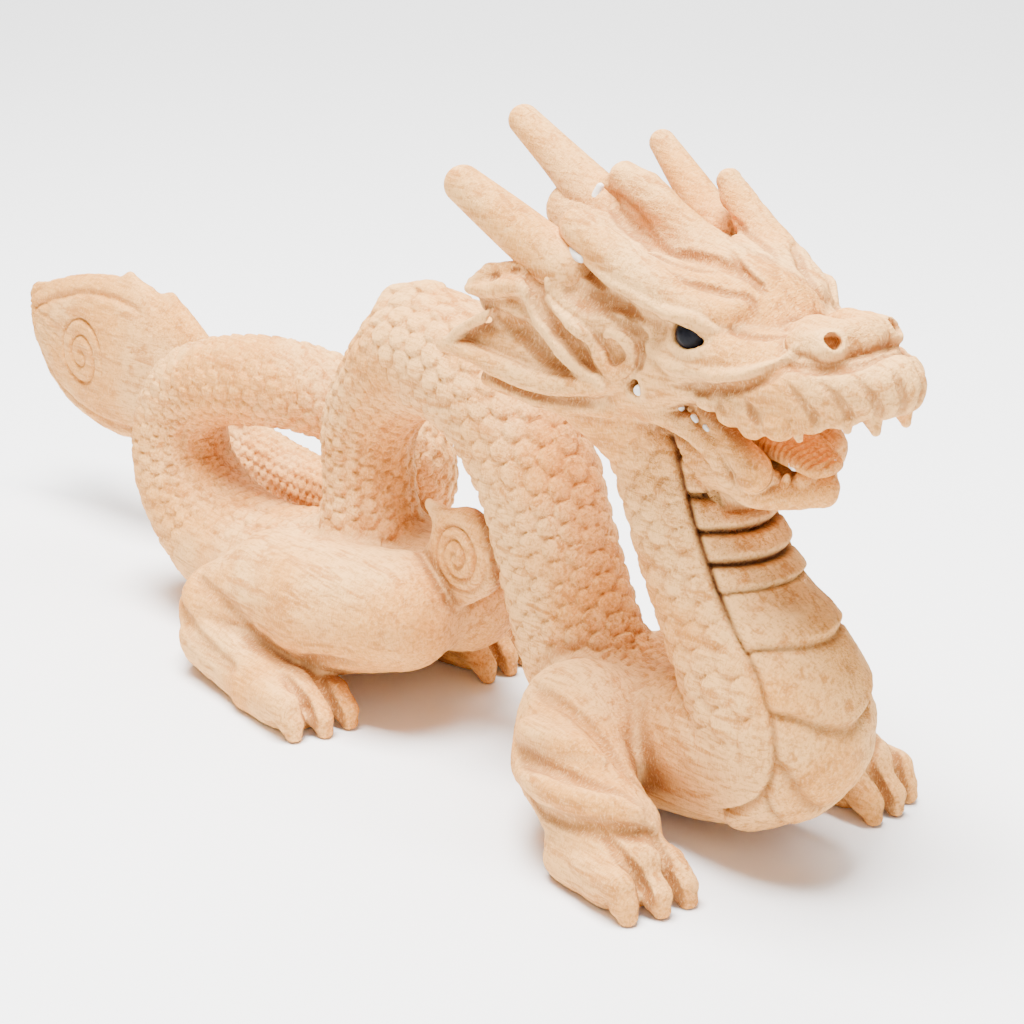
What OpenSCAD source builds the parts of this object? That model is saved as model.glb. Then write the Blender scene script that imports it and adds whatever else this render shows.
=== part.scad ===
// Carved wooden dragon, standing on four clawed feet with its trunk looped
// in an S: the neck rises from the chest, the back arches in a hump between
// two scaly columns, and the tail loops over and ends in a leaf-shaped flame.
// The carved block is divided into its anatomical blocks, which meet face to
// face. Horns, eyes and glue beads are separate pieces set into the wood.
// +X is towards the nose, +Y is the dragon's left, +Z is up, millimetres.
// The origin is on the ground, under the middle of the whole figure.

/* [Trunk] */
// thickness of neck, body and tail against the carved model
girth = 1.0; // [0.9:0.05:1.1]
// how far the neck scutes stand proud
scute_lift = 1.4; // [0.5:0.1:2.5]
// height of the fin along the back above the hump
fin_height = 4.0; // [2:0.5:8]

/* [Legs] */
// distance between the front feet's centre lines
front_track = 80; // [70:1:90]
// distance between the rear feet's centre lines
rear_track = 64; // [56:1:72]
// length of the flat sole of each foot
sole_length = 23; // [20:1:32]
// width of the flat sole of each foot
sole_width = 20; // [14:1:24]
// radius of a claw where it leaves the toe
claw_r = 3.0; // [2:0.25:4]
// length of a claw in front of the toe
claw_length = 6; // [4:0.5:9]

/* [Head] */
// diameter of a glass eye bead
eye_d = 7.2; // [5:0.1:9]
// distance between the two eye centres
eye_spacing = 43; // [38:1:48]
// length of a fang below the palate
fang_length = 7; // [4:0.5:9]
// radius of the filled socket for a whisker
whisker_r = 2.0; // [1:0.25:3]

/* [Horns] */
// radius of the side horns at the root
side_horn_root_r = 7.5; // [5:0.5:9]
// radius of the side horns at the tip
side_horn_tip_r = 5.2; // [3:0.2:7]
// radius of the centre horn at the tip
centre_horn_tip_r = 5.0; // [3:0.2:7]

/* [Hidden] */

wood = [0.90, 0.76, 0.60];
dark_wood = [0.78, 0.58, 0.40];
glass = [0.03, 0.03, 0.03];
glue = [0.96, 0.96, 0.94];

ring_sides = 20;
ball_sides = 12;
steps = 3;
big = 400;
sideways = [0, 1, 0];

// The trunk's centre line, nose end first: x, y, z and radius.
trunk = [
    [119, 0, 112, 18], [126, 0, 98, 18], [135, 0, 78, 18], [146, 0, 60, 19],
    [158, 0, 46, 21.5], [160, 0, 34, 21.5], [141, 0, 25, 20], [115, 0, 20, 18],
    [98, -1, 28, 17], [89, -2, 44, 16.5], [81, -2, 64, 16], [72, -2, 82, 16.5],
    [55, -2, 97, 17], [30, -2, 101, 17], [13, -2, 89, 14.5],
    [3, -2, 73, 13.5], [4, -3, 54, 13.5], [5, -5, 36, 17], [-11, -7, 25, 21],
    [-38, -8, 22, 19], [-63, -8, 25, 18], [-80, -9, 38, 16],
    [-84, -9, 54, 14.5], [-76, -8, 68, 13.5], [-54, -4, 75, 13.5],
    [-34, 4, 75, 13], [-18, 15, 68, 12.5], [-10, 24, 56, 12],
    [-18, 29, 40, 11.5], [-42, 31, 30, 10.5], [-62, 31, 29, 10],
    [-82, 29, 32, 9.5], [-100, 26, 37, 9]
];
// The trunk's stations where one block ends and the next starts.
neck_end = 3;
chest_end = 8;
front_column_end = 11;
hump_end = 14;
rear_column_end = 17;
hips_end = 20;
tail_base_end = 23;
tail_arch_end = 26;
tail_return_end = 29;
tail_root_end = 32;

// The flame at the end of the tail: a flat leaf with a pointed tip.
flame = [
    [-100, 26, 37, 9], [-114, 22, 47, 16], [-128, 18, 55, 23],
    [-142, 14, 58, 27], [-158, 11, 58, 27], [-174, 8, 58, 23],
    [-187, 6, 61, 15], [-195, 4, 66, 5]
];
flame_thickness = 0.34;

mouth_corner_x = 137;
snout_start_x = 158;
// The palate's outline and the jaw's top, each as x, z seen from the side.
palate_line = [
    [mouth_corner_x, 113], [152, 118], [176, 117], [190, 120], [220, 120],
    [220, 60], [mouth_corner_x, 60]
];
jaw_line = [
    [mouth_corner_x, 112], [152, 107], [166, 103], [190, 101], [190, 60],
    [mouth_corner_x, 60]
];

eye_y = eye_spacing / 2;
eye_x = 149;
eye_z = 134;
sole_thickness = 3;
front_toe_x = 158;
rear_toe_x = 26;
// The hips lie a little to the right, so the rear legs stand about this line.
rear_middle_y = -8;

function unit(v) = v / norm(v);
function place(p) = [p[0], p[1], p[2]];

// A point on the smooth curve through the list p, s counted in its points.
function along(p, s) =
    let (i = min(floor(s), len(p) - 2), t = s - i)
    let (a = p[max(i - 1, 0)], b = p[i], c = p[i + 1], d = p[min(i + 2, len(p) - 1)])
    0.5 * (2 * b + (c - a) * t + (2 * a - 5 * b + 4 * c - d) * t * t
        + (3 * b - a - 3 * c + d) * t * t * t);

// The curve's direction at s.
function heading(p, s) =
    let (e = 0.05, hi = min(s + e, len(p) - 1), lo = max(s - e, 0))
    unit(place(along(p, hi)) - place(along(p, lo)));

// The direction across the body at s that lies nearest to sideways.
function across(p, s) =
    let (d = heading(p, s))
    unit(sideways - (sideways * d) * d);

// A point on the body's skin at s: angle 0 is the left side, 90 the belly side.
function skin(p, s, angle, lift = 0, width = 1) =
    let (c = along(p, s), u = across(p, s), v = cross(heading(p, s), u))
    place(c) + (c[3] * girth + lift) * (width * cos(angle) * u + sin(angle) * v);

function ring(p, s, width) = [
    for (k = [0 : ring_sides - 1]) skin(p, s, 360 * k / ring_sides, 0, width)
];

module shell_of(points)
    hull()
        polyhedron(points = points, faces = [[for (k = [0 : len(points) - 1]) k]]);

// The body along p between the stations from and to.
module body(p, from, to, width = 1)
    for (i = [from * steps : to * steps - 1])
        shell_of(concat(ring(p, i / steps, width), ring(p, (i + 1) / steps, width)));

module ball(p)
    translate(place(p))
        sphere(r = p[3], $fn = ball_sides);

// A limb through balls, each given as x, y, z and radius.
module limb(balls)
    for (i = [0 : len(balls) - 2])
        hull() {
            ball(balls[i]);
            ball(balls[i + 1]);
        }

// A slab of the whole width with the given side outline of x, z points.
module side_prism(outline)
    translate([0, big / 2, 0])
        rotate([90, 0, 0])
            linear_extrude(big)
                polygon(outline);

module above_ground()
    translate([-big, -big, 0])
        cube([2 * big, 2 * big, big]);

// Side 1 is the dragon's left, -1 its right.
module on_side(side)
    mirror([0, side < 0 ? 1 : 0, 0])
        children();

module both_sides() {
    on_side(1)
        children();
    on_side(-1)
        children();
}

// ---- head ----

// The brow prong over an eye, on the left side.
module brow_prong()
    limb([[148, 18, 138, 8], [131, 22, 148, 7.5], [115, 25, 153, 6.5]]);

module crown_prong()
    limb([[144, 0, 143, 9], [121, 0, 154, 7], [104, 0, 160, 5]]);

module cheek()
    limb([[126, 18, 116, 9], [142, 18, 119, 7], [158, 19, 126, 4]]);

module upper_lip()
    limb([[146, 16, 119, 4], [168, 17, 119, 5], [184, 11, 124, 5], [192, 0, 127, 6]]);

module nose() {
    limb([[129, 0, 127, 22], [149, 0, 129, 20], [166, 0, 129, 15],
        [178, 0, 130, 12.5], [187, 0, 128, 10]]);
    both_sides()
        ball([179, 7, 134, 5.5]);
}

module head_mass() {
    nose();
    crown_prong();
    both_sides() {
        brow_prong();
        cheek();
        upper_lip();
    }
}

module eye_ball()
    translate([eye_x, eye_y, eye_z])
        sphere(d = eye_d, $fn = 48);

module whisker_socket()
    translate([134, 19, 119])
        rotate([-90, 0, 0])
            cylinder(r = whisker_r, h = 8, $fn = 24);

module neck_core()
    body(trunk, 0, neck_end);

module skull()
    color(wood)
        difference() {
            intersection() {
                head_mass();
                translate([-big + snout_start_x, -big / 2, 0])
                    cube([big, big, big]);
            }
            side_prism(palate_line);
            neck_core();
            both_sides() {
                eye_ball();
                whisker_socket();
            }
        }

module snout()
    color(wood)
        difference() {
            intersection() {
                head_mass();
                translate([snout_start_x, -big / 2, 0])
                    cube([big, big, big]);
            }
            side_prism(palate_line);
        }

module jaw_mass() {
    limb([[136, 7, 104, 10], [156, 8, 100, 8], [172, 3, 99, 7]]);
    limb([[136, -7, 104, 10], [156, -8, 100, 8], [172, -3, 99, 7]]);
    limb([[136, 0, 103, 11], [156, 0, 100, 9], [173, 0, 99, 7]]);
    both_sides()
        limb([[140, 15, 110, 4], [156, 14, 105, 4], [168, 10, 103, 4]]);
}

module lower_jaw()
    color(wood)
        difference() {
            intersection() {
                jaw_mass();
                side_prism(jaw_line);
            }
            neck_core();
        }

module tongue()
    color(dark_wood)
        difference() {
            scale([1, 1.8, 1])
                limb([[142, 0, 110, 4], [152, 0, 109, 4.5], [164, 0, 105, 4.5],
                    [175, 0, 105, 2.5]]);
            side_prism(jaw_line);
            translate([mouth_corner_x - big, -big / 2, 0])
                cube([big, big, big]);
        }

module fang(x, y, root_z)
    translate([x, y, root_z - fang_length])
        cylinder(r1 = 0.8, r2 = 3, h = fang_length + 2, $fn = 24);

module upper_fangs()
    color(wood)
        intersection() {
            both_sides() {
                fang(172, 14, 117.4);
                fang(188, 5, 119.4);
            }
            side_prism(palate_line);
        }

module lower_teeth()
    color(wood)
        difference() {
            both_sides()
                for (i = [0 : 2])
                    translate([150 + 7 * i, 14 - 1.5 * i, 107.5 - 2 * i])
                        sphere(r = 2.6, $fn = 24);
            side_prism(jaw_line);
        }

// One fold of the left ear: a thin plate between its corner balls.
module fold(corners)
    hull()
        for (c = corners)
            ball(c);

// The left ear, a folded leaf: two folds above its ridge and two below.
module ear_mass() {
    root_top = [130, 24, 132, 4.5];
    root_ridge = [130, 26, 120, 5];
    root_low = [126, 27, 112, 4.5];
    upper_edge = [112, 31, 139, 3.5];
    ridge = [116, 34, 128, 4];
    ridge_end = [104, 37, 130, 2.5];
    lower_edge = [108, 35, 112, 3];
    upper_tip = [91, 38, 136, 2.5];
    lower_tip = [86, 40, 122, 2.5];
    fold([root_top, upper_edge, ridge, root_ridge]);
    fold([upper_edge, upper_tip, ridge_end, ridge]);
    fold([root_ridge, ridge, lower_edge, root_low]);
    fold([ridge, ridge_end, lower_tip, lower_edge]);
}

module ear(side)
    color(wood)
        difference() {
            on_side(side)
                ear_mass();
            head_mass();
            neck_core();
        }

module eye(side)
    color(glass)
        on_side(side)
            eye_ball();

module side_horn_core()
    limb([[115, 25, 142, side_horn_root_r], [98, 30, 152, 6.8],
        [83, 32, 160, side_horn_tip_r]]);

module centre_horn_core()
    limb([[104, 0, 148, 8], [84, 0, 160, 6.5], [67, 0, 168, centre_horn_tip_r]]);

module side_horn(side)
    color(wood)
        difference() {
            on_side(side)
                side_horn_core();
            head_mass();
            neck_core();
            both_sides()
                ear_mass();
        }

module centre_horn()
    color(wood)
        difference() {
            centre_horn_core();
            head_mass();
            neck_core();
        }

module horn_glue()
    color(glue)
        difference() {
            union() {
                both_sides()
                    ball([112, 24, 149.5, 3]);
                ball([98, 0, 157.5, 3]);
            }
            head_mass();
            centre_horn_core();
            both_sides()
                side_horn_core();
        }

module whisker_plugs()
    color(glue)
        intersection() {
            both_sides()
                whisker_socket();
            head_mass();
        }

module mouth_glue()
    color(glue)
        difference() {
            for (p = [[166, -4, 109], [171, -2, 107]])
                translate(p)
                    sphere(r = 1.8, $fn = 24);
            scale([1, 1.8, 1])
                limb([[142, 0, 110, 4], [152, 0, 109, 4.5], [164, 0, 105, 4.5],
                    [175, 0, 105, 2.5]]);
        }

// ---- trunk ----

module neck()
    color(wood)
        neck_core();

module chest()
    color(wood)
        body(trunk, neck_end, chest_end);

// One curved plate across the front of the neck between two stations.
module scute(from, to) {
    half_angle = 50;
    slices = 4;
    front = 90;
    for (k = [0 : slices - 1]) {
        low = front - half_angle + 2 * half_angle * k / slices;
        high = front - half_angle + 2 * half_angle * (k + 1) / slices;
        shell_of([
            for (s = [from, to], a = [low, high], lift = [-2, scute_lift])
                skin(trunk, s, a, lift)
        ]);
    }
}

module neck_scutes() {
    scute_count = 11;
    first = 0.7;
    last = 5.4;
    pitch = (last - first) / scute_count;
    color(dark_wood)
        difference() {
            for (i = [0 : scute_count - 1])
                scute(first + i * pitch, first + (i + 0.85) * pitch);
            body(trunk, 0, chest_end);
            jaw_mass();
        }
}

module front_column()
    color(wood)
        body(trunk, chest_end, front_column_end);

module hump()
    color(wood)
        body(trunk, front_column_end, hump_end);

module dorsal_fin()
    color(wood)
        difference() {
            for (i = [0 : 2])
                hull() {
                    ball([34 - 9 * i, -2, 115, 3.5]);
                    ball([26 - 9 * i, -2, 116 + fin_height - i, 1.5]);
                }
            body(trunk, front_column_end, hump_end);
        }

module rear_column()
    color(wood)
        body(trunk, hump_end, rear_column_end);

module hips()
    color(wood)
        body(trunk, rear_column_end, hips_end);

// The upper rear leg on the left, measured from the rear legs' middle line.
module thigh_mass()
    limb([[-8, 15, 26, 17], [14, 16, 28, 18.5], [38, 11, 33, 16.5]]);

module rear_pair_place()
    translate([0, rear_middle_y, 0])
        children();

module rear_thigh(side)
    color(wood)
        difference() {
            rear_pair_place()
                on_side(side)
                    intersection() {
                        thigh_mass();
                        translate([-big / 2, 0, 0])
                            cube(big);
                    }
            body(trunk, hump_end, hips_end);
            body(trunk, chest_end, front_column_end);
            body(trunk, tail_arch_end, tail_root_end);
        }

module belly_curl()
    color(wood)
        difference() {
            limb([[42, -10, 40, 9], [57, -10, 53, 11.5], [39, -10, 61, 3]]);
            rear_pair_place()
                both_sides()
                    thigh_mass();
            body(trunk, hump_end, hips_end);
            body(trunk, chest_end, front_column_end);
        }

module tail_base()
    color(wood)
        body(trunk, hips_end, tail_base_end);

module tail_arch()
    color(wood)
        body(trunk, tail_base_end, tail_arch_end);

module tail_return()
    color(wood)
        difference() {
            body(trunk, tail_arch_end, tail_return_end);
            body(trunk, rear_column_end - 1, hips_end);
        }

module tail_root()
    color(wood)
        difference() {
            body(trunk, tail_return_end, tail_root_end);
            body(trunk, hips_end - 1, tail_base_end);
        }

module tail_flame()
    color(wood)
        body(flame, 0, len(flame) - 1, flame_thickness);

// ---- legs ----

module sole(x, y)
    hull()
        for (end = [-1, 1])
            translate([x + end * (sole_length - sole_width) / 2, y, 0])
                cylinder(d = sole_width, h = sole_thickness, $fn = 32);

front_leg_line = [
    [113, 20, 25, 17], [120, 30, 21, 14], [131, 38, 14, 10.5],
    [145, front_track / 2, 10, 9.5], [155, front_track / 2, 7, 8]
];

rear_leg_line = [
    [-14, 16, 24, 17], [-28, 23, 17, 14.5], [-25, 29, 11, 11],
    [-4, rear_track / 2, 8, 9.5], [14, rear_track / 2, 6, 8]
];

// The three toe ends of a foot: x, y and how far each turns outwards.
function toes(x, y) = [[x, y + 8, 1], [x + 3, y, 0], [x, y - 9, -1]];

module foot(toe_x, y) {
    sole(toe_x - 10, y);
    for (t = toes(toe_x, y))
        limb([[toe_x - 12, y + 4 * t[2], 6, 6], [t[0] - 3, t[1], 4, 4.6]]);
}

// The claws start where the toes' rounded ends stop.
module claws(toe_x, y)
    color(dark_wood)
        difference() {
            for (t = toes(toe_x, y))
                hull() {
                    ball([t[0], t[1], 3, claw_r]);
                    ball([t[0] + claw_length - 1.5, t[1] + 1.5 * t[2], 1.5, 1.5]);
                }
            foot(toe_x, y);
        }

module front_claws(side)
    on_side(side)
        claws(front_toe_x, front_track / 2);

module rear_claws(side)
    rear_pair_place()
        on_side(side)
            claws(rear_toe_x, rear_track / 2);

module front_leg(side)
    color(wood)
        difference() {
            intersection() {
                on_side(side) {
                    limb(front_leg_line);
                    foot(front_toe_x, front_track / 2);
                }
                above_ground();
            }
            body(trunk, neck_end, front_column_end);
            neck_scutes();
        }

module rear_leg(side)
    color(wood)
        difference() {
            intersection() {
                rear_pair_place()
                    on_side(side) {
                        limb(rear_leg_line);
                        foot(rear_toe_x, rear_track / 2);
                    }
                above_ground();
            }
            body(trunk, hump_end, tail_base_end);
            body(trunk, tail_arch_end, tail_root_end);
            rear_pair_place()
                both_sides()
                    thigh_mass();
        }

skull();
snout();
lower_jaw();
tongue();
upper_fangs();
lower_teeth();
ear(1);  // left_ear
ear(-1);  // right_ear
eye(1);  // left_eye
eye(-1);  // right_eye
side_horn(1);  // left_horn
side_horn(-1);  // right_horn
centre_horn();
horn_glue();
whisker_plugs();
mouth_glue();
neck();
neck_scutes();
chest();
front_column();
hump();
dorsal_fin();
rear_column();
hips();
belly_curl();
tail_base();
tail_arch();
tail_return();
tail_root();
tail_flame();
front_leg(1);  // front_left_leg
front_leg(-1);  // front_right_leg
rear_thigh(1);  // rear_left_thigh
rear_thigh(-1);  // rear_right_thigh
rear_leg(1);  // rear_left_leg
rear_leg(-1);  // rear_right_leg
front_claws(1);  // front_left_claws
front_claws(-1);  // front_right_claws
rear_claws(1);  // rear_left_claws
rear_claws(-1);  // rear_right_claws
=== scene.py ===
import math

import bpy
import numpy as np
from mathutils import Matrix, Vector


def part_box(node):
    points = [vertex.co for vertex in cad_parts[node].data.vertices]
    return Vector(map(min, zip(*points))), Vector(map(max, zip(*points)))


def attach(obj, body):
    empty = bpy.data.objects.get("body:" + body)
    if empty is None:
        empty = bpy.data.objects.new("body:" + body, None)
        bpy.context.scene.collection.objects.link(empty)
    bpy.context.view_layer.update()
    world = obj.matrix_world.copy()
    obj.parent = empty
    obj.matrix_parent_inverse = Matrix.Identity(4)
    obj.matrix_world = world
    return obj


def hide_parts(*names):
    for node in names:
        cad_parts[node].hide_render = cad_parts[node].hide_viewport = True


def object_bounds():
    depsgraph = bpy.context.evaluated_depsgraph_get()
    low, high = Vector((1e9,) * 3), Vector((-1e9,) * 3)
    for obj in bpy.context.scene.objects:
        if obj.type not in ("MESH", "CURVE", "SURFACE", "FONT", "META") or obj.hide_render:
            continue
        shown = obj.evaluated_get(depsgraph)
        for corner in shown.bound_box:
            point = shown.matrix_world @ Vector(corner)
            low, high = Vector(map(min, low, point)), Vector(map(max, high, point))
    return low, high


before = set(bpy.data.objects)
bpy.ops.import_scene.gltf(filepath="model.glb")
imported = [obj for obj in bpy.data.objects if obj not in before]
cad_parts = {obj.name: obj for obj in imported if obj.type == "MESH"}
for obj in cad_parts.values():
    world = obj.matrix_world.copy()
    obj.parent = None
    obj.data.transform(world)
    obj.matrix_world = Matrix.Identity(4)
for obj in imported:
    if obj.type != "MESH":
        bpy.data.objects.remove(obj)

import openvdb
from mathutils import Vector

# ---- Frame
# Sizes below are millimetres in the row frame: +X to the nose, -Y the dragon's right, +Z up.
CAD_LOW, CAD_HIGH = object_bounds()
DESIGN_LENGTH = 395.5
MM = (CAD_HIGH.x - CAD_LOW.x) / DESIGN_LENGTH
SIDES = {"right": -1, "left": 1}

NODES = sorted(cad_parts)
HEAD = ["skull", "snout", "lower_jaw", "left_ear", "right_ear"]
# Pieces made apart from the carved block and fitted to it.
FITTED = {"tongue", "upper_fangs", "lower_teeth", "left_eye", "right_eye", "left_horn", "right_horn",
          "centre_horn", "horn_glue", "whisker_plugs", "mouth_glue"}
BODY_PARTS = [n for n in NODES if n not in FITTED and n not in HEAD]
RECESSED = {"tongue", "neck_scutes"} | {n for n in NODES if n.endswith("claws")}

# Grid steps; the head is carved on a finer grid than the body.
BODY_GRID, HEAD_GRID = ((0.68, 0.45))
HEAD_START_X, HEAD_START_Z = 72, 82
GRID_MARGIN = 4


# ---- Body line
# Rings along the body from throat to tail: x, y, z, radius.
TRUNK = np.array([
    (119, 0, 112, 18), (126, 0, 98, 18), (135, 0, 78, 18), (146, 0, 60, 19), (158, 0, 46, 21.5),
    (160, 0, 34, 21.5), (141, 0, 25, 20), (115, 0, 20, 18), (98, -1, 28, 17), (89, -2, 44, 16.5),
    (81, -2, 64, 16), (72, -2, 82, 16.5), (55, -2, 97, 17), (30, -2, 101, 17), (13, -2, 89, 14.5),
    (3, -2, 73, 13.5), (4, -3, 54, 13.5), (5, -5, 36, 17), (-11, -7, 25, 21), (-38, -8, 22, 19),
    (-63, -8, 25, 18), (-80, -9, 38, 16), (-84, -9, 54, 14.5), (-76, -8, 68, 13.5),
    (-54, -4, 75, 13.5), (-34, 4, 75, 13), (-18, 15, 68, 12.5), (-10, 24, 56, 12),
    (-18, 29, 40, 11.5), (-42, 31, 30, 10.5), (-62, 31, 29, 10), (-82, 29, 32, 9.5),
    (-100, 26, 37, 9)], float)
# The ring where each named stretch of the body ends.
TRUNK_ENDS = {"neck": 3, "chest": 8, "front_column": 11, "hump": 14, "rear_column": 17,
              "hips": 20, "tail_base": 23, "tail_arch": 26, "tail_return": 29, "tail_root": 32}
FLAME = [(-100, 26, 37, 9), (-114, 22, 47, 16), (-128, 18, 55, 23), (-142, 14, 58, 27),
         (-158, 12, 58, 27), (-174, 11, 58, 23), (-187, 10, 61, 15.5), (-196, 10, 65, 8.5),
         (-201, 10, 68, 3.5)]
FLAME_THICKNESS = 0.34
# The hips and rear legs stand a little to the dragon's right.
HIP_MIDDLE = -8
# Samples of the body line between two rings, and points placed on it at a time.
LINE_STEPS = 12
BATCH = 20000


def spline(points, steps):
    """Points along a smooth curve through the given ones, with their radii."""
    p = np.array(points, float)
    p = np.vstack([2 * p[0] - p[1], p, 2 * p[-1] - p[-2]])
    made = []
    for i in range(1, len(p) - 2):
        for t in np.arange(steps) / steps:
            a, b, c, d = p[i - 1:i + 3]
            made.append(0.5 * (2 * b + (c - a) * t + (2 * a - 5 * b + 4 * c - d) * t ** 2
                               + (3 * b - a - 3 * c + d) * t ** 3))
    made.append(p[-2])
    return np.array(made)


def stretch_at(ring):
    """The name of the body stretch that a ring belongs to."""
    for name, end in TRUNK_ENDS.items():
        if ring <= end:
            return name
    return name


class BodyLine:
    """The body's centre line with a frame at every sample: belly, side and distance along."""

    def __init__(self):
        self.line = spline(TRUNK, LINE_STEPS)
        self.centre, self.radius = self.line[:, :3], self.line[:, 3]
        tangent = np.gradient(self.centre, axis=0)
        self.tangent = tangent / np.linalg.norm(tangent, axis=1)[:, None]
        belly = np.cross(self.tangent, (0.0, 1.0, 0.0))
        self.belly = belly / np.linalg.norm(belly, axis=1)[:, None]
        self.side = np.cross(self.belly, self.tangent)
        step = np.linalg.norm(np.diff(self.centre, axis=0), axis=1)
        self.along = np.concatenate([[0], np.cumsum(step)])
        middle = (self.radius[1:] + self.radius[:-1]) / 2
        self.turns = np.concatenate([[0], np.cumsum(step / middle)])
        self.names = np.array([stretch_at(i / LINE_STEPS) for i in range(len(self.line))])

    def place(self, points):
        """For each point: nearest sample, turns and distance along, angle from back, radius share."""
        nearest = np.empty(len(points), np.int32)
        for start in range(0, len(points), BATCH):
            p = points[start:start + BATCH]
            gap = ((p[:, None, :] - self.centre[None]) ** 2).sum(2) ** 0.5 - self.radius[None]
            nearest[start:start + BATCH] = gap.argmin(1)
        for _ in range(4):
            slip, beside, other = self.neighbour(points, nearest)
            nearest = np.where(np.abs(other) < np.abs(slip), beside, nearest)
        slip, beside, other = self.neighbour(points, nearest)
        part = np.clip(np.abs(slip) / np.maximum(np.abs(slip) + np.abs(other), 1e-6), 0, 1)
        turns = self.turns[nearest] + part * (self.turns[beside] - self.turns[nearest])
        along = self.along[nearest] + part * (self.along[beside] - self.along[nearest])
        offset = points - self.centre[nearest]
        offset = offset - slip[:, None] * self.tangent[nearest]
        back = -(offset * self.belly[nearest]).sum(1)
        side = (offset * self.side[nearest]).sum(1)
        angle = np.arctan2(side, back)
        share = np.hypot(back, side) / self.radius[nearest]
        return nearest, turns, along, angle, share

    def slip(self, points, index):
        """How far each point lies ahead of the sample it is paired with."""
        return ((points - self.centre[index]) * self.tangent[index]).sum(1)

    def neighbour(self, points, index):
        """Each point's slip, the next sample on that side, and the point's slip from that one."""
        slip = self.slip(points, index)
        beside = np.clip(index + np.sign(slip).astype(int), 0, len(self.line) - 1)
        return slip, beside, self.slip(points, beside)


BODY = BodyLine()

# ---- Clay
# The distance an empty grid holds, how far round a chain it is worked, and how far from the
# surface the surface finder looks.
FAR = 8.0
REACH = 6.0
SKIN = 3
NO_STRETCH = (1, 1, 1)


def chain_field(points, stretch=NO_STRETCH):
    """A function giving the distance to round cones strung through the points (x, y, z, r)."""
    p = np.array(points, np.float32)
    s = np.array(stretch, np.float32)

    def distance(x, y, z):
        best = None
        rows = [(p[0], p[0])] if len(p) == 1 else zip(p[:-1], p[1:])
        for a, b in rows:
            axis = (b[:3] - a[:3]) / s
            length2 = max(float(axis @ axis), 1e-6)
            u, v, w = (x - a[0]) / s[0], (y - a[1]) / s[1], (z - a[2]) / s[2]
            t = np.clip((u * axis[0] + v * axis[1] + w * axis[2]) / length2, 0, 1)
            u, v, w = u - t * axis[0], v - t * axis[1], w - t * axis[2]
            reach = np.sqrt(u * u + v * v + w * w) + np.float32(1e-6)
            d = reach - (a[3] + (b[3] - a[3]) * t)
            if tuple(stretch) != NO_STRETCH:
                u, v, w = u / s[0], v / s[1], w / s[2]
                d = d * reach / (np.sqrt(u * u + v * v + w * w) + np.float32(1e-6))
            best = d if best is None else np.minimum(best, d)
        return best

    radius = p[:, 3].max() * s
    return distance, p[:, :3].min(0) - radius, p[:, :3].max(0) + radius


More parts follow.
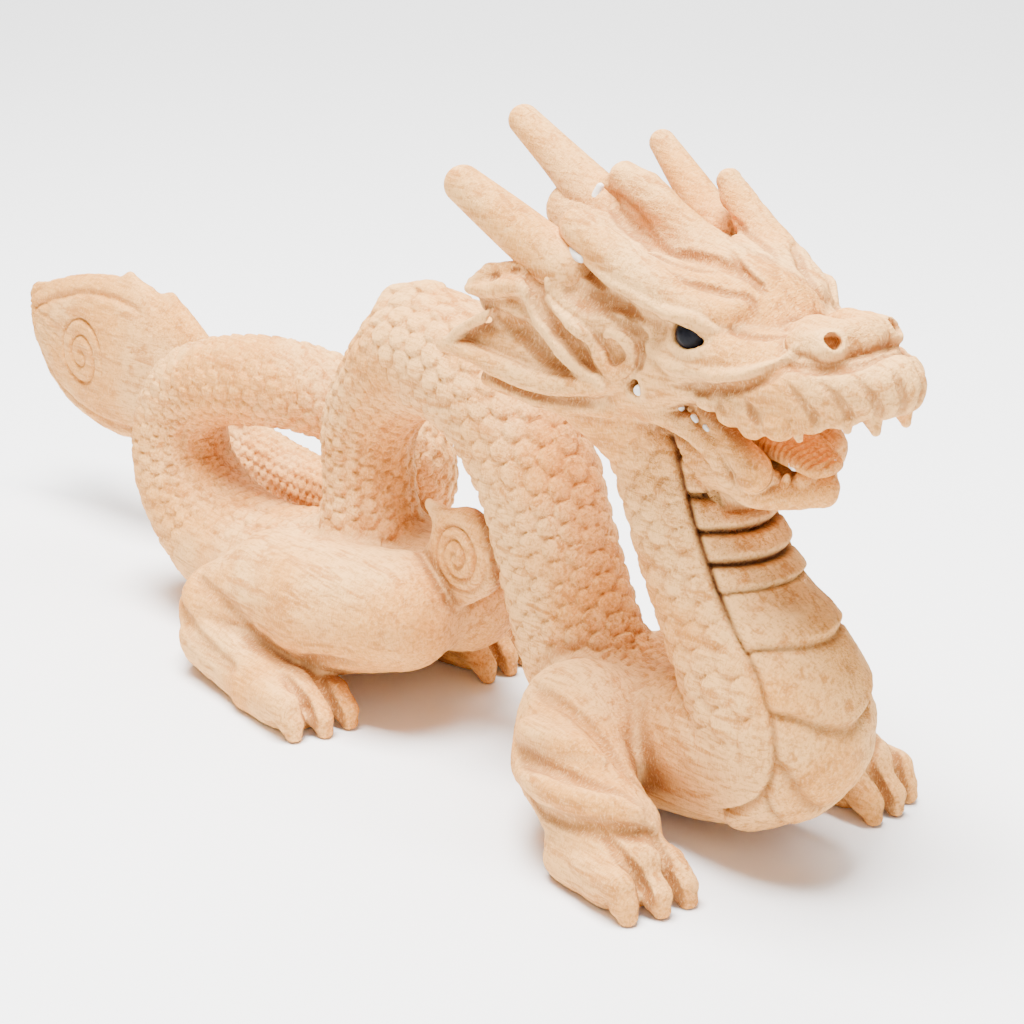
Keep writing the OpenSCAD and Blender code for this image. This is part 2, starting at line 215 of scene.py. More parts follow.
class Clay:
    """Signed distance to the carved surface on a regular grid, and whose surface is nearest."""

    def __init__(self, low, high, step):
        self.step = step
        self.low = np.floor(np.array(low, float) / step) * step
        self.shape = tuple(int(math.ceil((h - l) / step)) + 1 for l, h in zip(self.low, high))
        self.field = np.full(self.shape, FAR, np.float32)
        self.owner = np.zeros(self.shape, np.uint8)
        self.axes = [(self.low[i] + step * np.arange(self.shape[i])).astype(np.float32)
                     for i in range(3)]

    def window(self, low, high):
        """The grid slices that cover a box with room for blending, and their coordinates."""
        cuts = []
        for i in range(3):
            first = int((low[i] - REACH - self.low[i]) / self.step)
            last = int((high[i] + REACH - self.low[i]) / self.step) + 2
            cuts.append(slice(max(first, 0), min(last, self.shape[i])))
            if cuts[-1].start >= cuts[-1].stop:
                return None, None
        x, y, z = (self.axes[i][cuts[i]] for i in range(3))
        return tuple(cuts), (x[:, None, None], y[None, :, None], z[None, None, :])

    def chain_distance(self, points, stretch):
        """The grid slices round a chain of balls, and the distance to it inside them."""
        _, low, high = chain_field(points, stretch)
        cuts, _ = self.window(low, high)
        if cuts is None:
            return None, None
        near = np.full([cut.stop - cut.start for cut in cuts], FAR, np.float32)
        for a, b in list(zip(points[:-1], points[1:])) or [(points[0], points[0])]:
            distance, low, high = chain_field([a, b], stretch)
            part, xyz = self.window(low, high)
            if part is None:
                continue
            inner = tuple(slice(p.start - c.start, p.stop - c.start) for p, c in zip(part, cuts))
            near[inner] = np.minimum(near[inner], distance(*xyz))
        return cuts, near

    def add(self, points, part, blend=3.0, stretch=NO_STRETCH):
        """Joins a chain of balls to the clay, rounded into it over the blend width."""
        cuts, new = self.chain_distance(points, stretch)
        if cuts is None:
            return
        old = self.field[cuts]
        self.owner[cuts] = np.where(new < old, NODES.index(part), self.owner[cuts])
        self.field[cuts] = smooth_min(old, new, blend)

    def carve(self, points, blend=1.0, stretch=NO_STRETCH):
        """Takes a chain of balls out of the clay."""
        cuts, near = self.chain_distance(points, stretch)
        if cuts is None:
            return
        self.field[cuts] = -smooth_min(-self.field[cuts], near, blend)

    def settled(self, points):
        """Bare points moved onto the nearest part of the surface."""
        placed = np.array([p[:3] for p in points], float)
        for _ in range(5):
            steps = np.eye(3) * 0.6
            slope = [sample(self, placed + step) - sample(self, placed - step) for step in steps]
            slope = np.stack(slope, 1)
            slope = slope / np.maximum(np.linalg.norm(slope, axis=1), 1e-6)[:, None]
            placed = placed - slope * sample(self, placed)[:, None]
        return placed

    def line_on_surface(self, points, radius):
        """A chain of balls along the surface, thinner towards both ends."""
        placed = self.settled(spline([(*p[:3], radius) for p in points], 4))
        share = np.linspace(0, 1, len(placed))
        radii = radius * (0.35 + 0.65 * np.minimum(1, 5 * np.minimum(share, 1 - share)))
        return np.column_stack([placed, radii])

    def score(self, points, radius, blend=1.2):
        """Cuts a groove that follows the surface."""
        self.carve(self.line_on_surface(points, radius), blend)

    def strap(self, points, radius, part, blend=1.2):
        """Lays a raised band along the surface."""
        self.add(self.line_on_surface(points, radius), part, blend)

    def cut_below(self, height):
        """Makes everything below a height empty."""
        z = self.axes[2][None, None, :]
        self.field = np.maximum(self.field, height - z)

    def surface(self, smoothing=6):
        """Vertices in mm, quads, and the owner of each quad, with its ragged borders evened out."""
        grid = openvdb.FloatGrid(FAR)
        grid.copyFromArray(np.clip(self.field, -SKIN, SKIN))
        points, quads = grid.convertToQuads(0.0)
        owner_at = np.rint(points[quads].mean(1)).astype(int)
        owner_at = np.clip(owner_at, 0, np.array(self.shape) - 1)
        owner = self.owner[tuple(owner_at.T)].astype(np.int64)
        quads = quads.astype(np.int64)
        for _ in range(smoothing):
            votes = np.bincount((quads * len(NODES) + owner[:, None]).ravel(),
                                minlength=len(points) * len(NODES))
            votes = votes.reshape(-1, len(NODES)).astype(np.int32)
            owner = votes[quads].sum(1).argmax(1)
        return points * self.step + self.low, quads, owner


def smooth_min(a, b, width):
    """The smaller of two distances, rounded where they are nearly equal."""
    if width <= 0:
        return np.minimum(a, b)
    h = np.maximum(width - np.abs(a - b), 0) / np.float32(width)
    return np.minimum(a, b) - h * h * np.float32(width / 4)


def mirrored(points, side, middle=0):
    """Points given for the left, moved to the side asked for."""
    return [(p[0], middle + side * p[1], *p[2:]) for p in points]


class Half:
    """Work on one piece and one side, from points given for the left side."""

    def __init__(self, clay, side, part, middle=0):
        self.clay, self.part = clay, part
        self.at = lambda points: mirrored(points, side, middle)

    def add(self, points, blend=3, stretch=NO_STRETCH):
        self.clay.add(self.at(points), self.part, blend, stretch)

    def add_balls(self, balls, blend):
        for ball in balls:
            self.add([ball], blend)

    def carve(self, points, blend):
        self.clay.carve(self.at(points), blend)

    def score(self, points, radius, blend=1.2):
        self.clay.score(self.at(points), radius, blend)

    def strap(self, points, radius, blend):
        self.clay.strap(self.at(points), radius, self.part, blend)


def ridge(points, radius, steps=5):
    """A smooth thin chain through bare points (x, y, z) or (x, y, z, r)."""
    full = [tuple(p) if len(p) == 4 else (*p, radius) for p in points]
    return spline(full, steps)


# ---- Body sculpt
def model_trunk(clay):
    line = spline(TRUNK, 5)
    names = [stretch_at(i / 5) for i in range(len(line))]
    for a, b, name in zip(line[:-1], line[1:], names[1:]):
        clay.add([a, b], name, blend=0)


def model_front_leg(half):
    leg = [(113, 20, 25, 17), (120, 30, 22, 15), (132, 36, 17.5, 13), (144, 38, 13.5, 11.5),
           (152, 40, 10, 9)]
    half.add(leg, blend=5)
    low_roll = [(118, 44, 22), (133, 45, 22), (146, 42, 21), (155, 36, 19.5)]
    half.strap(low_roll, 3.6, blend=3)
    high_roll = [(112, 40, 31), (124, 40, 31), (137, 36, 29)]
    half.strap(high_roll, 3, blend=3)
    folds = [[(110, 46, 27), (122, 46, 27), (137, 45, 26), (146, 42, 25), (156, 35, 23)],
             [(122, 48, 17.5), (139, 46, 17), (148, 44, 17), (158, 38, 15.5)],
             [(100, 40, 17), (112, 47, 12), (126, 49, 9), (138, 49, 7)],
             [(106, 32, 38), (122, 33, 36), (136, 31, 33), (148, 28, 28)]]
    for fold in folds:
        half.score(fold, 1.5, blend=2.2)


def model_rear_leg(thigh, shin):
    haunch = [(-8, 15, 26, 17), (14, 16, 28, 18.5), (38, 11, 33, 16.5)]
    leg = [(-14, 16, 24, 17), (-28, 23, 17, 14.5), (-25, 29, 11, 11), (-4, 32, 8, 9.5),
           (14, 32, 6, 8)]
    thigh.add(haunch, blend=5)
    shin.add(leg, blend=5)
    folds = [[(-30, 33, 30), (-14, 37, 26), (4, 39, 21), (22, 36, 17), (38, 28, 16)],
             [(-39, 30, 22), (-24, 39, 16), (-8, 42.5, 13.5), (8, 43, 12)]]
    for fold in folds:
        shin.score(fold, 1.5, blend=2.5)


def model_foot(leg, claws, toe_x):
    """A broad pad with three blunt wedge toes and a deep gap between each two."""
    pad = [(toe_x - 22, 0, 6, 8.5), (toe_x - 7, 1, 6.5, 8.8)]
    leg.add(pad, blend=4, stretch=(1, 1.3, 0.95))
    for spread, reach in ((8.6, -3), (1, 0), (-7, 0)):
        toe = [(toe_x - 12, spread * 0.85, 9, 4.8), (toe_x - 1, spread, 8.5, 4.6),
               (toe_x + 4.5 + reach, spread * 1.04, 5, 3.7),
               (toe_x + 6 + reach, spread * 1.06, 2, 2.4)]
        claws.add(toe, blend=1)
    for spread in (5.1, -3):
        gap = [(toe_x - 9, spread * 0.8, 14), (toe_x - 2, spread, 12.5), (toe_x + 3, spread, 9),
               (toe_x + 5.5, spread, 4)]
        claws.score(gap, 1.5, blend=1)
        split = [(toe_x + 3.5, spread, 9, 0.8), (toe_x + 7.5, spread, 4, 1.6),
                 (toe_x + 8, spread, -1, 1.9)]
        claws.carve(split, blend=0.8)


def model_curl(clay):
    points = [(42, -10, 40, 9), (57, -10, 53, 12.5)]
    clay.add(points, "belly_curl", blend=2, stretch=(1, 0.45, 1))
    clay.add([(57, -10, 53, 10), (40, -10, 62, 2)], "belly_curl", blend=3, stretch=(1, 0.45, 1))


def model_flame(clay):
    clay.add(spline(FLAME, 3), "tail_flame", blend=3, stretch=(1, FLAME_THICKNESS, 1))
    corner = [(-176, 11, 66, 15), (-199, 10, 71, 4)]
    clay.add(corner, "tail_flame", blend=4, stretch=(1, FLAME_THICKNESS, 1))
    for tip in ((-146, 14, 85.5, 2.4), (-128, 18, 81, 2.6)):
        root = (tip[0] + 10, tip[1], tip[2] - 14, 9)
        clay.add([root, tip], "tail_flame", blend=4, stretch=(1, 0.5, 1))


def model_fin(clay):
    clay.add([(17, -2, 112, 5), (30, -2, 116, 4.5), (34, -2, 112, 5)], "dorsal_fin", blend=5)


def model_body(clay):
    model_trunk(clay)
    for word, side in SIDES.items():
        front, rear = f"front_{word}_", f"rear_{word}_"
        model_front_leg(Half(clay, side, front + "leg"))
        foot = side * 40
        model_foot(Half(clay, side, front + "leg", foot), Half(clay, side, front + "claws", foot), 158)
        shin = Half(clay, side, rear + "leg", HIP_MIDDLE)
        model_rear_leg(Half(clay, side, rear + "thigh", HIP_MIDDLE), shin)
        foot = HIP_MIDDLE + side * 32
        model_foot(Half(clay, side, rear + "leg", foot), Half(clay, side, rear + "claws", foot), 26)
    model_curl(clay)
    model_flame(clay)
    model_fin(clay)


# ---- Head sculpt
# The brow's prongs: the right one is blunter, the left one stands up more.
PRONGS = {
    SIDES["right"]: [(153, 15.5, 137, 3.6), (148, 19, 138.4, 4.2), (138, 21.5, 142, 5),
                     (128, 23, 146.2, 5.2), (118, 24, 151, 4.7), (114, 24.5, 153, 4.2)],
    SIDES["left"]: [(153, 15.5, 137, 3.6), (147, 18, 138.8, 4.6), (138, 20.5, 142, 5.2),
                    (128, 22.5, 146.5, 5), (118.5, 24, 153, 4.2), (114.5, 24.8, 157, 3.2)]}


def model_skull(clay):
    # Cranium, nape, crown, crown prong and its tip.
    chains = ((4, [(124, 0, 128, 20), (140, 0, 129, 19.5), (148, 0, 128, 18)]),
              (6, [(112, 0, 136, 14), (96, 0, 145, 9)]),
              (5, [(106, 0, 145, 9), (86, 0, 149, 7)]),
              (3.5, [(150, 0, 139, 6.5), (136, 0, 144.5, 6), (123, 0, 151, 4.8), (111, 0, 157.6, 4.6),
                     (104, 0, 159.6, 3.9)]),
              (2, [(98, 0, 157, 2.6), (104, 0, 158, 3)]))
    for blend, points in chains:
        clay.add(points, "skull", blend)
    for side in SIDES.values():
        half = Half(clay, side, "skull")
        brow = [(152, 10, 136, 6), (142, 13, 138.5, 7), (130, 15, 140.5, 7.5)]
        half.add(brow)
        half.add(spline(PRONGS[side], 3))
        notch = [(118, 20.5, 148.5, 2.2), (109, 20, 150.5, 3)]
        half.carve(notch, blend=2)
        temple = [(134, 17, 132, 8.5), (124, 20, 133, 8.5), (114, 21, 137, 8)]
        half.add(temple)
        cheek = [(124, 17, 117, 9), (136, 17.5, 120, 8), (146, 17.5, 124, 7)]
        half.add(cheek, blend=4)
        half.add_balls([(151, 5, 140.8, 2.8), (154.3, 11.5, 138.8, 3.2)], blend=1.5)


def model_snout(clay):
    bridge = [(150, 0, 132, 13), (162, 0, 126.5, 9), (172, 0, 127, 8.5), (183, 0, 126.5, 6.5)]
    clay.add(bridge, "snout", blend=4)
    for side in SIDES.values():
        half = Half(clay, side, "snout")
        muzzle = [(148, 13, 124, 8), (158, 13, 124.5, 8.4), (168, 12.8, 124.5, 8.4),
                  (176, 11.5, 124.8, 8), (184, 7.5, 125.8, 6.8), (189, 2.5, 126.2, 6.5),
                  (189.5, 0, 126.2, 6.5)]
        half.add(muzzle)
        under_eye = [(146, 18, 129.5, 6.8), (157, 16, 128.5, 6.5), (166, 11, 129.5, 6.2)]
        half.add(under_eye)
        lobes = [(153.5, 19, 120, 3.6), (160, 18.5, 118.3, 4), (166.5, 17.6, 117, 4.3),
                 (173, 16.5, 117.6, 4.3), (179.5, 13.5, 119.3, 3.6), (185, 9.5, 120.3, 3.4)]
        half.add_balls(lobes, blend=1.8)
        nose = [(164, 4, 131, 4.6), (172, 5, 134.4, 5.6), (178.5, 4.5, 135, 5), (180, 0, 135, 5)]
        half.add(nose, blend=0.8)
        half.add([(173, 10, 134.4, 4.2), (179.5, 9, 134.6, 4.2)], blend=0.8)
        half.carve([(184.5, 11.5, 138, 1.6), (180, 9.4, 136.2, 2.1)], blend=0.8)


# Furrows of the brow and the creases round the muzzle, each with its radius.
FACE_LINES = [
    ([(100, 9, 157), (106, 9, 156), (113, 10, 153), (122, 10, 150.6), (133, 8.5, 148),
      (142, 6.5, 146), (149, 5, 143), (153.5, 4, 138)], 1.8),
    ([(138, 21, 143), (144, 18, 144), (148, 15.5, 144.5), (152, 13, 143), (155, 10.5, 140.5),
      (156.5, 9, 136.5)], 1.1),
    ([(142, 2, 147), (148, 2.5, 144), (153, 2.5, 139)], 0.9),
    ([(122, 17, 150), (131, 15.5, 148), (139, 13.5, 146.5), (145, 10.5, 145.5)], 0.8),
    ([(117, 29, 142.5), (127, 28.5, 139), (137, 27, 135.5)], 1.2),
    ([(122, 27, 138), (130, 27, 134.5), (138, 26, 131.5)], 0.8),
    ([(146.8, 25, 121.5), (155.4, 24, 121.9), (162.7, 22, 124.2), (170, 20.5, 128),
      (174, 17.5, 131.6), (180, 14.5, 131.6), (185, 10, 131.4), (187.5, 4, 131.2),
      (188, 0, 131.2)], 1.4),
    ([(157, 16.5, 134), (163, 14.5, 134), (168, 11.5, 135)], 1.1),
    ([(176, 19, 128), (181, 16.5, 123), (183, 15.5, 118)], 0.8),
    ([(183, 15, 128.5), (187.5, 12, 124), (188.5, 11.5, 118)], 0.9),
    ([(189, 9.5, 129), (192.5, 7, 124), (192.5, 7, 118)], 0.9),
    ([(192, 3, 130), (195, 2.4, 125), (194.5, 2.4, 119)], 0.9),
    ([(166, 22, 122), (170, 21, 118)], 0.8),
    ([(158, 23.5, 120.5), (161.5, 22.5, 117.5)], 0.8)]


def carve_face_lines(skull, snout):
    """Furrows of the brow, the cheek ridge and the creases round the muzzle."""
    brow_edge = [(119, 29, 145.5), (130.7, 29, 141.8), (140.3, 27, 139.4), (146.3, 25, 138.6),
                 (150.7, 23, 137.8), (155, 19.5, 135.4)]
    skull.strap(brow_edge, 1.4, blend=1)
    cheek = [(138, 26, 129), (144, 26, 127), (151, 26, 126), (158.5, 24, 126), (165.7, 22, 128),
             (171.8, 19, 131.4), (174.5, 15, 135)]
    snout.strap(cheek, 1.5, blend=1.5)
    for points, radius in FACE_LINES:
        skull.score(points, radius)


def model_mouth(clay):
    """Opens the mouth between palate and jaw, then lays the jaw rim and the corner flap in it."""
    clay.carve([(148, 0, 112, 5), (160, 0, 110.5, 7.5), (176, 0, 110, 8.5), (198, 0, 112, 9)],
               blend=1.2, stretch=(1, 2.4, 1))
    clay.add([(138, 0, 102, 10), (152, 0, 98, 7.5), (165, 0, 97, 5)], "lower_jaw", blend=4,
             stretch=(1, 1.5, 1))
    for side in SIDES.values():
        half = Half(clay, side, "lower_jaw")
        rim = [(134, 18.5, 113.5, 4.5), (142, 18, 111.5, 3), (148, 17.5, 109.5, 2.8),
               (153, 16, 105.5, 2.8), (156, 14, 100, 3), (160, 11, 97, 3.4), (167, 5, 97, 3.6),
               (171, 0, 98, 3.8)]
        half.add(ridge(rim, 3), blend=1.5)
        nubs = [(146, 18.5, 112.6, 1.6), (153.5, 16.6, 107.6, 1.7), (158, 13, 101.4, 1.9),
                (163.5, 8.5, 100.8, 1.8), (169, 4.5, 101, 2)]
        half.add_balls(nubs, blend=1.2)
        flap = [(145, 16, 117, 1.8), (150, 15, 112.5, 2.6), (156, 14, 108, 3.4), (161, 12.8, 104, 4.2),
                (161.5, 12.6, 102, 4.2)]
        half.add(ridge(flap, 3), blend=0.6)


def model_eye_socket(half):
    half.carve([(151, 25, 134, 4.2), (149.5, 22, 134, 4.2)], blend=0.8)
    lid = [(144.5, 22.5, 134.5), (146, 23.6, 131.3), (150, 23.6, 130), (154.5, 21.5, 131.5)]
    half.add(ridge(lid, 1.1), blend=1.2)
    over = [(143, 23.5, 137.5, 1.2), (147.5, 23.6, 138, 1.4), (152, 21.5, 135.5, 1.4),
            (156, 18.5, 133, 1.4)]
    half.add(ridge(over, 2), blend=1.5)


# Blend, thickness and balls of the ear's root, lobes, web to the neck, filler and corner.
EAR_SLABS = [
    (3, 0.5, [(124, 23, 122, 8), (112, 27, 126, 8), (102, 31, 131, 7)]),
    (2, 0.4, [(116, 28, 134, 9), (105, 32.5, 138, 7), (97, 35.5, 138.5, 4.5), (92, 37.5, 137, 2)]),
    (2, 0.35, [(120, 27, 119, 8), (106, 32, 121, 8), (94, 36.5, 123, 5), (86, 39, 121.5, 2)]),
    (4, 0.6, [(120, 16, 107, 11), (110, 24, 112, 6), (100, 33, 117, 4)]),
    (2, 0.45, [(100, 34, 132, 5), (108, 32, 130, 6), (116, 29, 127, 6)]),
    (1.5, 0.45, [(96.5, 36.5, 134.5, 3), (103, 35, 131, 4)])]
# Grooves between the ear's folds.
EAR_HOLLOWS = [
    ([(107, 34, 143), (109.5, 34, 141), (113.6, 34, 135.2), (118.2, 33, 130.2),
      (122.4, 31.5, 126.6), (125.4, 30, 122.6)], 1.9),
    ([(117.5, 30, 141), (121, 30, 138.4), (125.6, 29.5, 136)], 2.3),
    ([(124, 29, 141), (130.4, 28, 138.2), (136, 27, 133.6), (137.4, 26, 129),
      (136.4, 25.5, 124.4)], 0.9),
    ([(99.5, 38, 130.6), (104, 37.2, 129.6), (108.5, 36.5, 127.4), (113.8, 34.5, 123.8),
      (118.4, 32, 121.4)], 2.6),
    ([(99, 37, 116.2), (108.8, 34, 113.6), (119.7, 31, 112.8), (128.5, 28, 114)], 1.1)]


def model_ear(half):
    for blend, thickness, points in EAR_SLABS:
        half.add(points, blend, stretch=(1, thickness, 1))
    rim = [(84, 40, 121.2, 1.6), (93, 39.3, 121.2, 2.4), (103, 37.2, 118.8, 2.8),
           (113, 33.8, 117, 2.8), (123, 29.5, 117.5, 2.4), (130, 26, 119.5, 1.8)]
    half.add(ridge(rim, 2.2), blend=1.5)
    edge = [(99, 38.5, 131.5), (92, 39.8, 127), (84, 40.3, 121.5)]
    half.add(ridge(edge, 1.3), blend=1.2)
    bottom = [(96, 36, 114.5), (105, 33, 112.5), (114, 29, 110.5), (125, 24.5, 111.5)]
    half.add(ridge(bottom, 1.8))
    fold = [(90.6, 38, 136), (96.2, 38, 136.4), (103.8, 37.5, 138.8), (109.5, 37, 138.4),
            (113.1, 35.5, 132.8), (117.1, 33.5, 127.3), (122.2, 31, 122), (127.5, 28, 118.5)]
    half.strap(fold, 2.5, blend=0.8)
    volute = [(115.5, 30, 144), (112.2, 31, 140.2), (112.6, 32, 136.9), (116.7, 32.5, 133.6),
              (122, 32, 131), (125.5, 31, 128.6), (127.6, 30, 125.2), (130.1, 28.5, 122.6),
              (133, 27, 123.4), (134.4, 26, 126.7), (132.6, 26.5, 130.2), (129.4, 27.5, 131.2),
              (127.8, 28.5, 129.8)]
    half.strap(volute, 2, blend=0.4)
    for points, radius in EAR_HOLLOWS:
        half.score(points, radius, blend=1.5)
    for pit in ((98.7, 37, 139.6), (103.8, 35.5, 142.4)):
        half.score([pit, (pit[0] + 1.6, pit[1], pit[2] + 0.6)], 0.9, blend=0.6)


def model_head(clay):
    model_skull(clay)
    model_snout(clay)
    model_mouth(clay)
    for word, side in SIDES.items():
        skull, snout = Half(clay, side, "skull"), Half(clay, side, "snout")
        model_eye_socket(skull)
        model_ear(Half(clay, side, f"{word}_ear"))
        carve_face_lines(skull, snout)
        whisker_socket = [(135, 22, 119, 2), (135, 30, 119, 2)]
        skull.carve(whisker_socket, blend=0.6)


def sculpt(clay):
    model_body(clay)
    model_head(clay)
    clay.cut_below(0)
    return clay


# ---- Surface relief
# Overlapping scales: their spacing, their height in mm, their half length and half width in
# spacings, and the share of their height that leaves the surface where it is.
SCALE_CELL = 2 * math.pi / 18
SCALE_HEIGHT = 1.55
SCALE_HALF_LENGTH, SCALE_HALF_WIDTH = 0.54, 0.74
SCALE_REST = 0.62
# Belly plates: how far round from the belly they reach, and how far their middles hang.
PLATE_HALF_ANGLE = 0.87
PLATE_SAG = 3.6
# Heights at which the neck's side groove meets the edge of each belly plate.
PLATE_EDGES = [101, 92, 84, 77, 71, 60, 48, 37, 27, 17]
DEEP_EDGES = 4
# Centre, spacing of turns, reach and sense of the spirals on the belly curl and tail flame.
SPIRALS = ((np.array((57.0, -12, 53)), 3.6, 11, 1), (np.array((-163.0, 4, 58)), 5.5, 14, -1))
# How far a piece's open rim turns inward, and the room left round a small piece's grid.
RIM_TURN = 1.2
SMALL_MARGIN = 1.5


def ramp(low, high, value):
    t = np.clip((value - low) / (high - low), 0, 1)
    return t * t * (3 - 2 * t)


def bell(distance, width):
    return np.exp(-(distance / width) ** 2)


def scale_relief(turns, angle, flip):
    """Height from 0 to 1 of overlapping round scales, on turns along and angle from the back."""
    along, around = turns / SCALE_CELL, np.abs(angle) / SCALE_CELL
    height = np.zeros(len(turns))
    row = np.floor(around)
    for k in (-1, 0, 1, 2):
        r = row + k
        shift = 0.5 * (r % 2)
        for j in (-1, 0, 1):
            column = np.round(along - shift) + j + shift
            u, v = along - column, (around - r) * flip
            reach = np.hypot(u / SCALE_HALF_LENGTH, v / SCALE_HALF_WIDTH)
            rise = SCALE_REST + 0.38 * np.clip(v / SCALE_HALF_WIDTH, -1, 1) - 0.18 * reach ** 2
            height = np.maximum(height, rise * (1 - ramp(0.8, 1.0, reach)))
    return height


def plate_marks():
    """How far along the body line each belly plate's edge lies."""
    out = BODY.belly * math.cos(PLATE_HALF_ANGLE) + BODY.side * math.sin(PLATE_HALF_ANGLE)
    height = (BODY.centre + out * BODY.radius[:, None])[:, 2]
    last = int(np.argmin(height[:TRUNK_ENDS["chest"] * LINE_STEPS]))
    return np.interp(-np.array(PLATE_EDGES, float), -height[:last + 1], BODY.along[:last + 1])


def plate_relief(move, along, belly, radius, front, share):
    """Steps the belly plates and cuts their edges: the move so far with them, the painted shadow in the
    cuts and grooves, and the plates.
    """
    marks = plate_marks()
    sag = PLATE_SAG * np.cos(np.clip(belly / PLATE_HALF_ANGLE, 0, 1) * math.pi / 2)
    at = along - sag
    in_plates = front & (at > marks[0] - 12) & (at < marks[-1] + 3) & (share < 1.3)
    plate = in_plates & (belly < PLATE_HALF_ANGLE)
    groove = bell((belly - PLATE_HALF_ANGLE) * radius, 0.85) * in_plates
    groove = groove * ramp(marks[0] - 14, marks[0] - 9, at) * (1 - ramp(marks[-1] - 2, marks[-1] + 3, at))
    move = move - 1.5 * groove
    # Painted shadow: darkest in the side grooves and in the deep upper cuts between plates.
    plate_cut_shade = groove * (1 - 0.55 * ramp(marks[DEEP_EDGES], marks[DEEP_EDGES + 1], at))
    inside = np.clip(np.searchsorted(marks, at) - 1, 0, len(marks) - 2)
    share_in = np.clip((at - marks[inside]) / (marks[inside + 1] - marks[inside]), 0, 1)
    bulge = 0.1 + 1.5 * share_in ** 1.3 * (1 - ramp(0.93, 1.0, share_in))
    move = move + bulge * plate * (at > marks[0])
    for i, mark in enumerate(marks[:-1]):
        width, depth, edge_shade = (1.1, 2.6, 1.0) if i < DEEP_EDGES else (0.6, 0.7, 0.45)
        cut = bell(at - mark, width) * plate
        move = move - depth * cut
        plate_cut_shade = np.maximum(plate_cut_shade, edge_shade * cut)
    return move, plate_cut_shade, plate


def body_relief(points):
    """For points on the body: the move outward, painted shade between scales, painted shadow in the plate
    cuts, and whether each is on a plate.
    """
    nearest, turns, along, angle, share = BODY.place(points)
    name, radius = BODY.names[nearest], BODY.radius[nearest]
    on_trunk = 1 - ramp(1.08, 1.2, share)
    front = np.isin(name, ["neck", "chest"])
    belly = math.pi - np.abs(angle)
    scales = scale_relief(turns, angle, np.where(front, -1.0, 1.0))
    scaled = np.where(front, ramp(PLATE_HALF_ANGLE + 0.06, PLATE_HALF_ANGLE + 0.2, belly), 1.0)
    near_floor = np.where(np.isin(name, ["chest", "hips", "neck"]), ramp(26, 42, points[:, 2]), 1)
    scaled = scaled * near_floor * on_trunk
    move = SCALE_HEIGHT * (scales - SCALE_REST) * scaled
    # Painted shade in the low gaps between scales.
    shade = (1 - ramp(0.05, 0.5, scales)) * scaled
    move, plate_cut_shade, plate = plate_relief(move, along, belly, radius, front, share)
    return move, shade, plate_cut_shade, plate


def knife_marks(points, rate):
    """Uneven swells from -1 to 1, like the small flats a carving knife leaves."""
    x, y, z = points.T * rate
    first = np.sin(x + 1.7 * np.sin(0.8 * y + 0.3) + 1.1 * np.sin(1.3 * z))
    second = np.sin(1.4 * z + 1.3 * np.sin(0.9 * x + 2) - 0.7 * y)
    return 0.5 * (first + second)


def spiral_groove(points, centre, pitch, reach, turn, facing):
    """Depth 0 to 1 of a groove that winds out from a centre in the XZ plane."""
    dx, dz = (points[:, 0] - centre[0]) * turn, points[:, 2] - centre[2]
    ring = np.hypot(dx, dz) / pitch
    winding = (ring - np.arctan2(dz, dx) / (2 * math.pi)) % 1
    line = bell(np.minimum(winding, 1 - winding) * pitch, 0.55)
    return line * (1 - ramp(reach - 1, reach, ring * pitch)) * ramp(0.2, 0.6, facing)


def sample(clay, points):
    """The clay's distance at any points, by trilinear steps between grid values."""
    place = (points - clay.low) / clay.step
    place = np.clip(place, 0, np.array(clay.shape) - 1.001)
    base = place.astype(int)
    part = place - base
    total = np.zeros(len(points))
    for corner in range(8):
        bits = [(corner >> i) & 1 for i in range(3)]
        weight = np.prod([part[:, i] if bits[i] else 1 - part[:, i] for i in range(3)], 0)
        total += weight * clay.field[base[:, 0] + bits[0], base[:, 1] + bits[1], base[:, 2] + bits[2]]
    return total


def hollowness(clay, points, normals):
    """From 0 in the open to 1 deep in a crease, from how soon the surface is met again."""
    near = 1 - sample(clay, points + normals * 1.6) / 1.6
    far = 1 - sample(clay, points + normals * 4.5) / 4.5
    return np.clip(0.6 * near + 0.7 * far, 0, 1)


def sharpness(clay, points, normals):
    """From 0 on flat or hollow places to 1 on thin edges."""
    return np.clip(1 + sample(clay, points - normals * 1.6) / 1.6, 0, 1)


# ---- Mesh making
def vertex_normals(points, quads):
    a, b, c, d = (points[quads[:, i]] for i in range(4))
    face = np.cross(c - a, d - b)
    total = np.zeros_like(points)
    for i in range(4):
        for axis in range(3):
            total[:, axis] += np.bincount(quads[:, i], face[:, axis], len(points))
    return total / np.maximum(np.linalg.norm(total, axis=1), 1e-9)[:, None]


def open_loops(quads):
    """The vertex loops round the open edges of a set of faces."""
    edges = np.vstack([quads[:, [i, (i + 1) % 4]] for i in range(4)])
    _, first, count = np.unique(np.sort(edges, 1), axis=0, return_index=True, return_counts=True)
    follow = {}
    for a, b in edges[first[count == 1]].tolist():
        follow.setdefault(b, []).append(a)
    loops = []
    while follow:
        here = next(iter(follow))
        loop = []
        while here in follow:
            loop.append(here)
            nexts = follow[here]
            here = nexts.pop()
            if not nexts:
                del follow[loop[-1]]
        loops.append(loop)
    return loops


def close_loops(loops, points, normals, first_new):
    """Turns each loop's rim inward and fills it with a fan: new faces and new points."""
    faces, added = [], []
    for loop in loops:
        n = len(loop)
        start = first_new + len(added)
        rim = points[loop] - normals[loop] * RIM_TURN
        middle = rim.mean(0)
        added += [*rim, middle]
        for i in range(n):
            j = (i + 1) % n
            faces.append((loop[i], loop[j], start + j, start + i))
            faces.append((start + i, start + j, start + n))
    return faces, added


def placed(name, data):
    """A new object in the scene."""
    thing = bpy.data.objects.new(name, data)
    bpy.context.scene.collection.objects.link(thing)
    return thing


